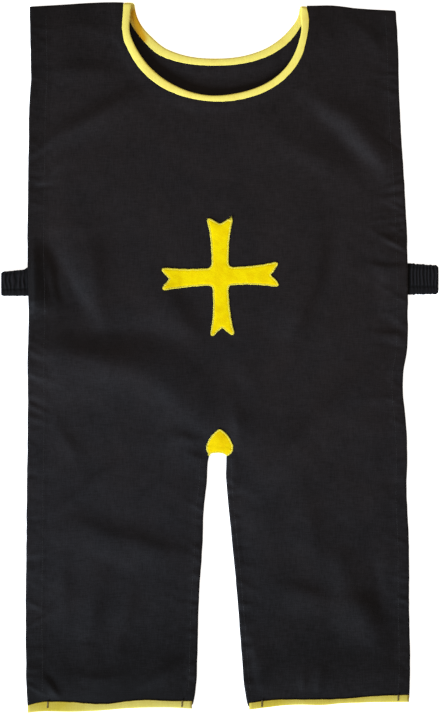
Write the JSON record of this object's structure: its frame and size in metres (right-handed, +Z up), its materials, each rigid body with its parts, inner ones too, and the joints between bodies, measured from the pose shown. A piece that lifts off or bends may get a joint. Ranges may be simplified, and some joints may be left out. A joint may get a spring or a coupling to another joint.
{
  "type": "child's tabard laid flat",
  "caption": "Sleeveless black tabard laid flat, open at the sides, with bound neck and hems, a slit up the middle, elastic side loops and an applique cross.",
  "frame": {"origin": "on the surface that it lies on, below the middle of its bounding box", "axes": "+Z up from the surface, +Y towards the shoulders, +X to the viewer's right as the front faces up"},
  "size_m": [0.5247, 0.8491, 0.0115],
  "materials": {
    "black_cloth": "plain-woven black cotton blend, matt, with pressed and crumpled creases",
    "yellow_neck_binding": "pale yellow bias binding with a slight sheen",
    "yellow_hem_binding": "duller yellow binding",
    "yellow_applique": "bright yellow applique cloth, edge-stitched",
    "black_elastic": "black casing gathered over elastic"
  },
  "bodies": {
    "root": {"back_panel": "black_cloth", "front_panel": "black_cloth", "neck_binding": "yellow_neck_binding", "hem_binding_front_left": "yellow_hem_binding", "hem_binding_front_right": "yellow_hem_binding", "hem_binding_back_left": "yellow_hem_binding", "hem_binding_back_right": "yellow_hem_binding", "elastic_strap_left": "black_elastic", "elastic_strap_right": "black_elastic", "chest_cross": "yellow_applique", "slit_patch": "yellow_applique"}
  },
  "joints": []
}
